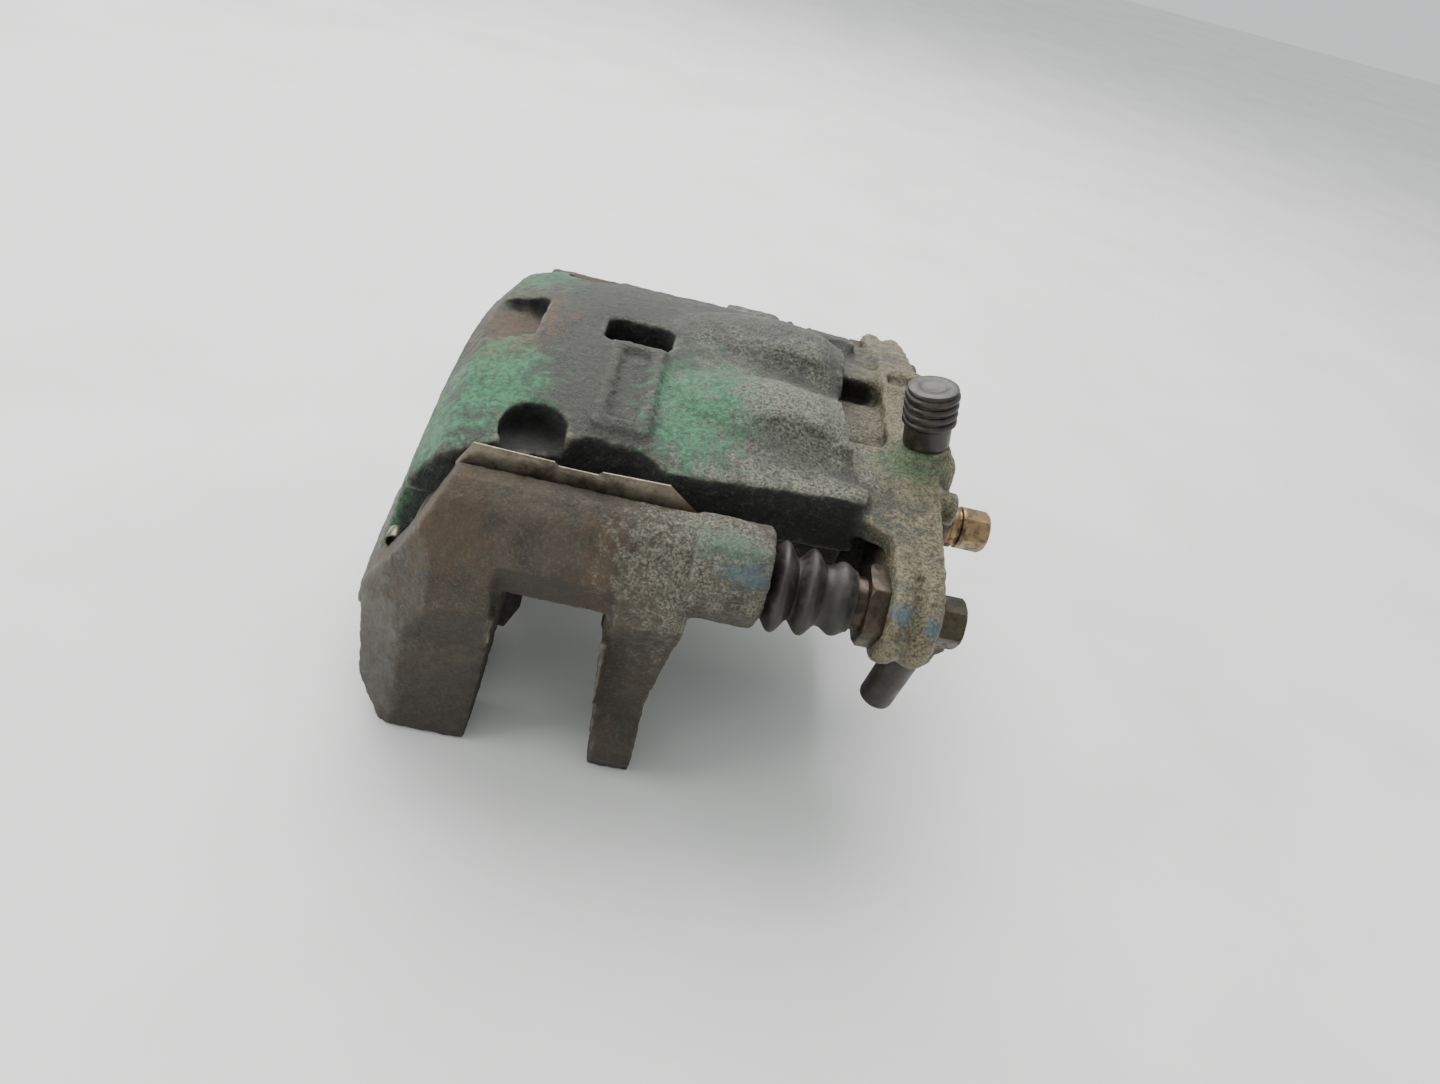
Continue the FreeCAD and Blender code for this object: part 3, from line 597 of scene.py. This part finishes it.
def plated_metal(name, base, tarnish, metallic, roughness):
    """Plated or bare soft metal, dulled by fingers and heat in cloudy stains."""
    material, tree, shader = new_material(name, roughness, metallic)
    stain = speckle(tree, 3.5, 0.4, 0.66, 6.0, 0.65, 0.4)
    finish_shader(tree, shader, lay(tree, base, stain, 1, tarnish), stain, roughness, roughness + 0.22)
    relief(tree, shader, (0.6, 0.06, 0.4, 0.6))
    return material


def plain_floor():
    """Matt backdrop board: pale, with the faintest unevenness."""
    material, tree, shader = new_material("backdrop_board", 0.6)
    colour = lay(tree, "#e3e4df", speckle(tree, 90, 0.3, 0.7, 4.0, 0.5), 1, "#ecece8")
    tree.links.new(colour, shader.inputs["Base Color"])
    return material


MADE = {}


def material_of(name, maker, *values):
    """Each material is made once and shared."""
    if name not in MADE:
        MADE[name] = maker(*values)
    return MADE[name]


def gaiter_rubber():
    return material_of("gaiter", moulded_rubber, "gaiter_rubber_moulded", "#171412", "#564c40", 0.35)


def cap_rubber():
    return material_of("cap", moulded_rubber, "cap_rubber_moulded", "#1d1915", "#554a3b", 0.45, 0.5)


def seal_rubber():
    return material_of("seal", moulded_rubber, "seal_rubber_moulded", "#101010", "#3a3836", 0.2, 0.45)


def pin_steel():
    return material_of("pin", oxidised_steel, "guide_pin_steel_oxidised",
                       "#2d2520", "#4a3e34", "#3b281b", 0.45, 0.6)


def bolt_steel():
    return material_of("bolt", oxidised_steel, "bolt_steel_zinc_tarnished",
                       "#2e2a22", "#4e4839", "#33271c", 0.45, 0.45)


def clip_steel():
    return material_of("clip", oxidised_steel, "spring_steel_sheet_tarnished",
                       "#4c463b", "#7c7465", "#463a2e", 0.38, 0.4)


# ---------------------------------------------------------------- pieces

class CALIPER_OT_housing(bpy.types.Operator):
    """Sand cast housing with its worn paint"""
    bl_idname = "caliper.housing"
    bl_label = "Housing casting"

    def execute(self, context):
        sizes = settings().caliper_casting
        piece = cad_copy("caliper_housing", "housing_casting")
        cast(piece, sizes.housing_voxel, sizes.skin)
        finish_piece(piece, "caliper_housing", "housing", sand_cast_iron_housing())
        return {"FINISHED"}


class CALIPER_OT_carrier(bpy.types.Operator):
    """Sand cast carrier bracket"""
    bl_idname = "caliper.carrier"
    bl_label = "Carrier casting"

    def execute(self, context):
        sizes = settings().caliper_casting
        piece = cad_copy("carrier_bracket", "carrier_casting")
        cast(piece, sizes.carrier_voxel, sizes.skin)
        finish_piece(piece, "carrier_bracket", "carrier", sand_cast_iron_carrier())
        return {"FINISHED"}


class CALIPER_OT_gaiters(bpy.types.Operator):
    """Rubber gaiters that keep the guide pins clean"""
    bl_idname = "caliper.gaiters"
    bl_label = "Pin gaiters"

    def execute(self, context):
        wall = settings().caliper_rubber.gaiter_wall / MM
        for side in ("near", "far"):
            low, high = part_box("pin_boot_" + side)
            centre = (low + high) / 2 / MM
            length = (high.x - low.x) / MM
            folds = [(3.6, 3.9, 4.0), (11.0, 3.7, 3.3), (19.2, 3.6, 1.7)]
            outline = waved(0, length, 8.0, folds, wall)
            piece = turned("pin_gaiter_" + side, outline, (low.x / MM, centre.y, centre.z), ALONG_X)
            finish_piece(piece, "pin_boot_" + side, None, gaiter_rubber())
            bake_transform(piece, "carrier", "housing", (low.x + 1 * MM, centre.y * MM, centre.z * MM),
                     (high.x - 7 * MM, centre.y * MM, centre.z * MM))
        return {"FINISHED"}


class CALIPER_OT_dust_boot(bpy.types.Operator):
    """Dust boot between the piston and the mouth of its bore"""
    bl_idname = "caliper.dust_boot"
    bl_label = "Piston dust boot"

    def execute(self, context):
        low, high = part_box("piston_dust_boot")
        centre = (low + high) / 2 / MM
        outer = [(24.3, 3.4), (24.3, 5.6), (26.2, 5.8), (27.2, 7.4), (28.4, 7.9), (28.9, 9.7), (30.1, 9.6),
                 (30.1, 5.3), (29.0, 5.2), (28.1, 4.3), (26.6, 3.7)]
        piece = turned("dust_boot", smoothed(outer), (0, centre.y, centre.z), ALONG_X)
        finish_piece(piece, "piston_dust_boot", None, gaiter_rubber())
        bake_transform(piece, "piston", "housing", (4 * MM, centre.y * MM, centre.z * MM),
                 (9 * MM, centre.y * MM, centre.z * MM))
        return {"FINISHED"}


class CALIPER_OT_caps(bpy.types.Operator):
    """Rubber caps over both bleed screws"""
    bl_idname = "caliper.caps"
    bl_label = "Bleed screw caps"

    def execute(self, context):
        outline = [(5.3, 0.1), (6.3, 0.0), (6.55, 0.5), (6.6, 2.0), (6.55, 6.2), (6.8, 6.5)]
        for k in range(4):
            z = 6.7 + 2.5 * k
            outline += [(7.25, z), (7.55, z + 0.35), (7.6, z + 0.9), (7.5, z + 1.4), (7.15, z + 1.75),
                        (6.75, z + 1.85), (6.7, z + 2.3)]
        outline += [(7.1, 16.75), (6.9, 17.25), (6.2, 17.5), (4.2, 17.55), (3.6, 17.2), (2.8, 17.1),
                    (0, 17.1), (0, 13.6), (3.7, 13.6), (3.7, 8), (5.2, 7)]
        # both caps follow the lean of their nipples
        lean = math.radians(UPPER_LEAN)
        base = UPPER_SEAT + CAP_GAP * Vector((math.sin(lean), 0, math.cos(lean)))
        piece = turned("ribbed_bleed_cap", outline, base, (0, lean, 0))
        finish_piece(piece, "bleed_screw_cap", "bleed_cap", cap_rubber())
        plain = [(5.1, -0.4), (5.8, -0.3), (5.75, -1.0), (5.3, -1.5), (5.2, -2.0), (5.05, -18.4),
                 (4.8, -19.2), (4.1, -19.8), (3.2, -19.9), (0, -19.9), (0, -13.9), (3.7, -13.9),
                 (3.7, -7.3), (5.0, -6.3)]
        piece = turned("plain_bleed_cap", plain, LOWER_SEAT, (0, math.radians(LOWER_LEAN), 0))
        finish_piece(piece, "lower_bleed_cap", "lower_bleed_cap", cap_rubber())
        return {"FINISHED"}


class CALIPER_OT_pins(bpy.types.Operator):
    """Guide pins with hexagon flanges, and the bolts that hold them to the lugs"""
    bl_idname = "caliper.pins"
    bl_label = "Guide pins and bolts"

    def execute(self, context):
        for name in ("guide_pin_near", "guide_pin_far"):
            eased(name, 0.45, pin_steel())
        eased("guide_pin_bolts", 0.45, bolt_steel())
        paint_node("guide_pin_bush", seal_rubber())
        return {"FINISHED"}


class CALIPER_OT_fittings(bpy.types.Operator):
    """Hose bolt, its copper washer and both bleed screws"""
    bl_idname = "caliper.fittings"
    bl_label = "Hydraulic fittings"

    def execute(self, context):
        brass = material_of("brass", plated_metal, "hose_bolt_passivated", "#957d5c", "#54473a", 0.85, 0.34)
        copper = material_of("copper", plated_metal, "seal_washer_copper", "#8f6b50", "#57402f", 0.95, 0.38)
        eased("hose_port_bolt", 0.4, brass)
        eased("hose_port_washer", 0.15, copper)
        eased("bleed_screw", 0.15, brass)
        eased("lower_bleed_screw", 0.15, brass)
        return {"FINISHED"}


class CALIPER_OT_piston(bpy.types.Operator):
    """Ground and plated piston with its square seal"""
    bl_idname = "caliper.piston"
    bl_label = "Piston and seal"

    def execute(self, context):
        chrome = material_of("chrome", plated_metal, "piston_steel_ground_plated",
                             "#b9b9b6", "#8c857a", 1.0, 0.22)
        eased("piston", 0.35, chrome)
        paint_node("piston_seal", seal_rubber())
        return {"FINISHED"}


class CALIPER_OT_pads(bpy.types.Operator):
    """Brake pads: lining, steel back plate and shim"""
    bl_idname = "caliper.pads"
    bl_label = "Brake pads"

    def execute(self, context):
        plate = material_of("plate", oxidised_steel, "pad_plate_black_enamel_worn",
                            "#1c1b1b", "#2f2d2b", "#4a3526", 0.5, 0.5)
        shim = material_of("shim", oxidised_steel, "pad_shim_steel_coated",
                           "#2a2a2b", "#3f3d3b", "#4a3a2c", 0.45, 0.3)
        lining = material_of("lining", pressed_friction_lining)
        for pad in ("inner", "outer"):
            eased(pad + "_pad_lining", 0.4, lining)
            eased(pad + "_pad_plate", 0.5, plate)
            eased(pad + "_pad_shim", 0.1, shim)
        return {"FINISHED"}


class CALIPER_OT_clips(bpy.types.Operator):
    """Spring steel clips that the pads slide in"""
    bl_idname = "caliper.clips"
    bl_label = "Pad clips"

    def execute(self, context):
        for node in ("pad_clip_near", "pad_clip_far"):
            eased(node, 0.1, clip_steel())
        return {"FINISHED"}


class CALIPER_OT_stage(bpy.types.Operator):
    """Pale floor, soft light and camera"""
    bl_idname = "caliper.stage"
    bl_label = "Stage"

    def execute(self, context):
        sizes = settings().caliper_stage
        bpy.ops.object.select_all(action="DESELECT")
        bpy.ops.mesh.primitive_plane_add(size=FLOOR_SIZE, location=(0, 0, CAD_LOW.z - FLOOR_GAP))
        floor = bpy.context.object
        floor.name = "floor"
        floor.data.materials.append(plain_floor())
        floor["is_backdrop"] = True
        lights = [("key", (-0.15, 0.55, 0.95), 1.1, sizes.key_power),
                  ("fill", (-0.95, -0.3, 0.42), 0.7, sizes.key_power * 0.3)]
        for name, place, size, power in lights:
            bpy.ops.object.light_add(type="AREA", location=place)
            lamp = bpy.context.object
            lamp.name = name
            lamp.data.shape = "SQUARE"
            lamp.data.size = size
            lamp.data.energy = power
            lamp.rotation_euler = (LIGHT_TARGET - Vector(place)).to_track_quat("-Z", "Y").to_euler()
        world = bpy.data.worlds.new("studio")
        bpy.context.scene.world = world
        world.use_nodes = True
        backdrop = next(node for node in world.node_tree.nodes if node.type == "BACKGROUND")
        backdrop.inputs["Color"].default_value = hex_colour("#e9eff0")
        backdrop.inputs["Strength"].default_value = 0.95
        self.camera(sizes.lens)
        return {"FINISHED"}

    def camera(self, lens):
        """The camera stands outboard of the near pin, tipped down and rolled."""
        heading, tip, roll = (math.radians(angle) for angle in CAMERA_TURN)
        forward = Vector((math.sin(heading) * math.cos(tip), math.cos(heading) * math.cos(tip),
                          -math.sin(tip)))
        level = Vector((math.cos(heading), -math.sin(heading), 0))
        right = level * math.cos(roll) - forward.cross(level) * math.sin(roll)
        up = right.cross(forward)
        bpy.ops.object.camera_add(location=CAMERA_PLACE * MM)
        camera = bpy.context.object
        camera.rotation_euler = Matrix((right, up, -forward)).transposed().to_euler()
        camera.data.sensor_width = SENSOR_WIDTH
        camera.data.lens = lens
        camera.data.clip_start = 0.01
        bpy.context.scene.camera = camera


PIECES = (CALIPER_OT_housing, CALIPER_OT_carrier, CALIPER_OT_gaiters, CALIPER_OT_dust_boot, CALIPER_OT_caps,
          CALIPER_OT_pins, CALIPER_OT_fittings, CALIPER_OT_piston, CALIPER_OT_pads, CALIPER_OT_clips,
          CALIPER_OT_stage)


class CALIPER_PT_panel(bpy.types.Panel):
    """Lists the settings and the pieces in the sidebar"""
    bl_idname = "CALIPER_PT_panel"
    bl_label = "Brake Caliper"
    bl_space_type = "VIEW_3D"
    bl_region_type = "UI"
    bl_category = "Caliper"

    def draw(self, context):
        for group in ("caliper_casting", "caliper_rubber", "caliper_stage"):
            values = getattr(context.scene, group)
            for name in values.bl_rna.properties.keys():
                if name not in {"rna_type", "name"}:
                    self.layout.prop(values, name)
        for piece in PIECES:
            self.layout.operator(piece.bl_idname)


SETTINGS = (CaliperCastingSettings, CaliperRubberSettings, CaliperStageSettings)
CLASSES = SETTINGS + PIECES + (CALIPER_PT_panel,)


def register():
    for entry in CLASSES:
        bpy.utils.register_class(entry)
    bpy.types.Scene.caliper_casting = bpy.props.PointerProperty(type=CaliperCastingSettings)
    bpy.types.Scene.caliper_rubber = bpy.props.PointerProperty(type=CaliperRubberSettings)
    bpy.types.Scene.caliper_stage = bpy.props.PointerProperty(type=CaliperStageSettings)


def unregister():
    del bpy.types.Scene.caliper_stage
    del bpy.types.Scene.caliper_rubber
    del bpy.types.Scene.caliper_casting
    for entry in reversed(CLASSES):
        bpy.utils.unregister_class(entry)


def main():
    register()
    for piece in PIECES:
        group, name = piece.bl_idname.split(".")
        getattr(getattr(bpy.ops, group), name)()


if __name__ == "__main__":
    main()
